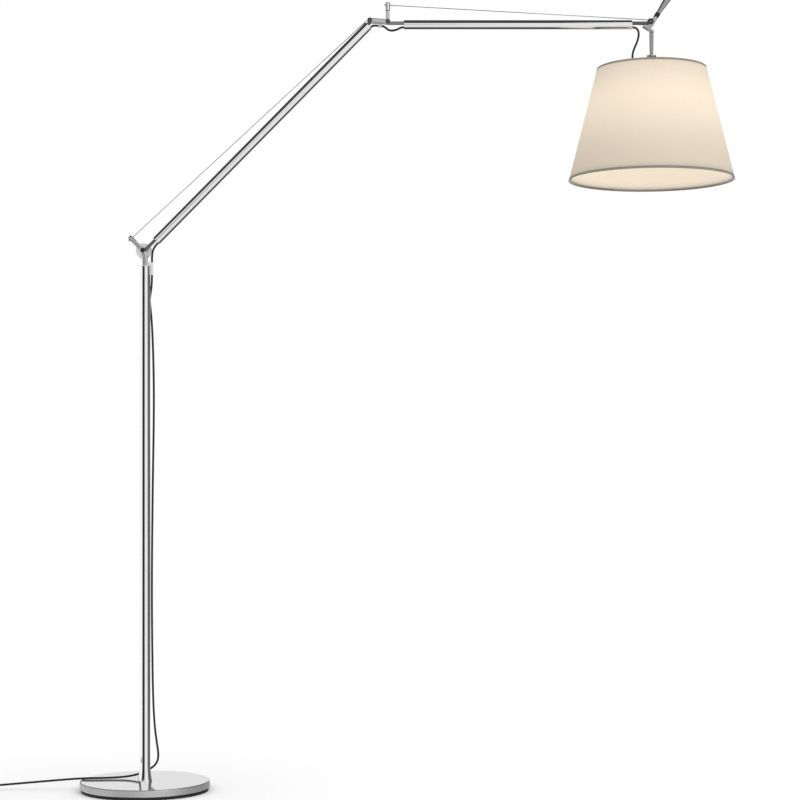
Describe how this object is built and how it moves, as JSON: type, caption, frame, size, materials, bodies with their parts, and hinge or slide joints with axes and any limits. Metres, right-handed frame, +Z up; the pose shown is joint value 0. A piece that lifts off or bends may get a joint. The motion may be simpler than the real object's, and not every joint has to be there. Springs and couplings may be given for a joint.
{
  "type": "adjustable arm floor lamp",
  "caption": "Floor lamp with a round weighted base, a slim post, two balanced tube arms on tilting joints and a conical fabric shade that tilts by a handle.",
  "frame": {"origin": "centre of the base's underside, on the floor", "axes": "+X along the arms towards the shade, +Y away from the viewer, +Z up the post"},
  "size_m": [1.9985, 0.4198, 2.0476],
  "materials": {
    "polished": "polished",
    "steel": "plain",
    "wire": "bright",
    "black_metal": "satin black",
    "black_rubber": "matt",
    "cord": "smooth",
    "bearing": "plain",
    "pale_plastic": "smooth",
    "black_plastic": "satin",
    "shade_fabric": "woven",
    "bulb_glass": "frosted",
    "bulb_cap": "plated",
    "porcelain": "plain"
  },
  "bodies": {
    "stand": {"base_plate": "steel", "base_cover": "polished", "base_pad": "black_rubber", "base_fasteners": "steel", "post": "polished", "post_insert": "steel", "post_bush": "bearing", "mains_cord": "cord", "switch_cord": "cord", "plug_cord": "cord", "cord_coil": "cord", "mains_plug": "black_plastic", "plug_pins": "bulb_cap", "strain_reliefs": "black_rubber", "switch_base": "black_plastic", "switch_cover": "black_plastic", "switch_spring": "steel"},
    "button": {"switch_button": "black_plastic"},
    "swivel": {"swivel_fork": "polished", "swivel_spindle": "steel", "lower_lever": "polished", "lower_pivot": "black_metal", "cord_clip": "pale_plastic", "lower_joint_cord": "cord"},
    "knob": {"tension_knob": "pale_plastic"},
    "lower_arm": {"lower_arm_tube": "polished", "lower_root_plug": "polished", "lower_tip_plug": "polished", "lower_spring": "steel", "lower_wire": "wire", "lower_arm_cord": "cord", "lower_grommets": "black_rubber"},
    "lower_wheel": {"lower_roller": "bearing"},
    "elbow": {"elbow_plates": "polished", "elbow_spacer": "polished", "upper_lever": "polished", "elbow_pivots": "black_metal", "elbow_cord_in": "cord", "elbow_cord_out": "cord"},
    "upper_arm": {"upper_arm_tube": "polished", "upper_root_plug": "polished", "upper_tip_plug": "polished", "upper_spring": "steel", "upper_wire": "wire", "upper_arm_cord": "cord", "upper_grommets": "black_rubber"},
    "upper_wheel": {"upper_roller": "bearing"},
    "head": {"head_fork": "polished", "handle": "polished", "handle_ring": "black_rubber", "head_pivot": "black_metal", "lampholder_cup": "polished", "lampholder": "porcelain", "bulb": "bulb_glass", "bulb_cap": "bulb_cap", "shade": "shade_fabric", "shade_bottom_ring": "steel", "shade_carrier": "steel", "carrier_nut": "porcelain", "head_cord": "cord"}
  },
  "joints": [
    {"name": "post_swivel", "type": "hinge", "parent": "stand", "child": "swivel", "pos_m": [0, 0, 1.336], "axis": [0, 0, 1], "range_deg": [-170, 170], "deforming": ["mains_cord"]},
    {"name": "knob_turn", "type": "hinge", "parent": "swivel", "child": "knob", "pos_m": [-0.0048, 0, 1.3767], "axis": [0, 1, 0], "range_deg": [-180, 180]},
    {"name": "lower_arm_tilt", "type": "hinge", "parent": "swivel", "child": "lower_arm", "pos_m": [-0.0048, 0, 1.3767], "axis": [0, -1, 0], "range_deg": [-45, 40], "deforming": ["lower_wire", "lower_spring", "lower_joint_cord"]},
    {"name": "lower_roller_turn", "type": "hinge", "parent": "lower_arm", "child": "lower_wheel", "pos_m": [0.57307, 0, 1.9627], "axis": [0, -1, 0], "range_deg": [-340, 380]},
    {"name": "elbow_tilt", "type": "hinge", "parent": "lower_arm", "child": "elbow", "pos_m": [0.57307, 0, 1.9627], "axis": [0, -1, 0], "range_deg": [-15, 15], "deforming": ["elbow_cord_in"]},
    {"name": "upper_arm_tilt", "type": "hinge", "parent": "elbow", "child": "upper_arm", "pos_m": [0.61904, 0, 1.9592], "axis": [0, -1, 0], "range_deg": [-60, 60], "deforming": ["upper_wire", "upper_spring", "elbow_cord_out"]},
    {"name": "upper_roller_turn", "type": "hinge", "parent": "upper_arm", "child": "upper_wheel", "pos_m": [1.28804, 0, 1.9592], "axis": [0, -1, 0], "range_deg": [-500, 500]},
    {"name": "head_tilt", "type": "hinge", "parent": "upper_arm", "child": "head", "pos_m": [1.28804, 0, 1.9592], "axis": [0, -1, 0], "range_deg": [-30, 60], "deforming": ["head_cord"]},
    {"name": "button_press", "type": "slide", "parent": "stand", "child": "button", "axis": [0, 0, -1], "range_m": [0, 0.0025], "stiffness_N_per_m": 800, "springref_m": -0.002, "deforming": ["switch_spring"]}
  ],
  "couplings": [
    {"joint": "lower_roller_turn", "follows": "lower_arm_tilt", "ratio": -8.27},
    {"joint": "upper_roller_turn", "follows": "upper_arm_tilt", "ratio": -8.27}
  ]
}
